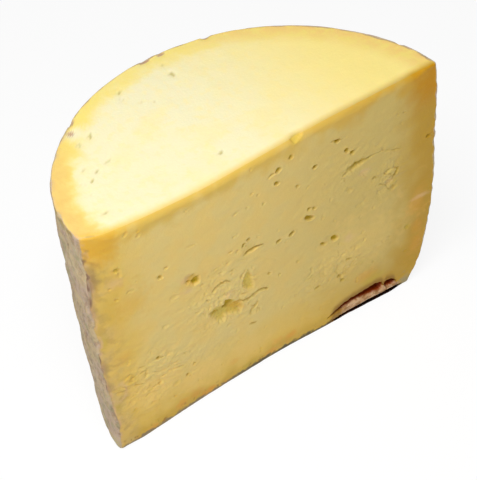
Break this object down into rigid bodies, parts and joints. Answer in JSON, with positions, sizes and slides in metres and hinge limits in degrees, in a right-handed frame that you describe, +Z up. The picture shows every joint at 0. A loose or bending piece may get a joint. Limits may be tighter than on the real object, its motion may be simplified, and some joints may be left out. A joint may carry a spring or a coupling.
{
  "type": "half wheel of cantal cheese",
  "caption": "Half of a tall pressed cow's-milk cheese, sliced flat above and cut upright through the middle, with pale yellow paste, small eyes and a grey-brown rind.",
  "frame": {"origin": "centre of the bounding box on the flat base that the cheese stands on", "axes": "+X along the cut face from left to right as seen from the front, +Y from the cut face into the rounded rind, +Z up"},
  "size_m": [0.3922, 0.178, 0.274],
  "materials": {
    "cheese": "pale yellow waxy paste, golden towards a thin dry grey-brown rind"
  },
  "bodies": {
    "root": {"half_wheel": "cheese"}
  },
  "joints": []
}
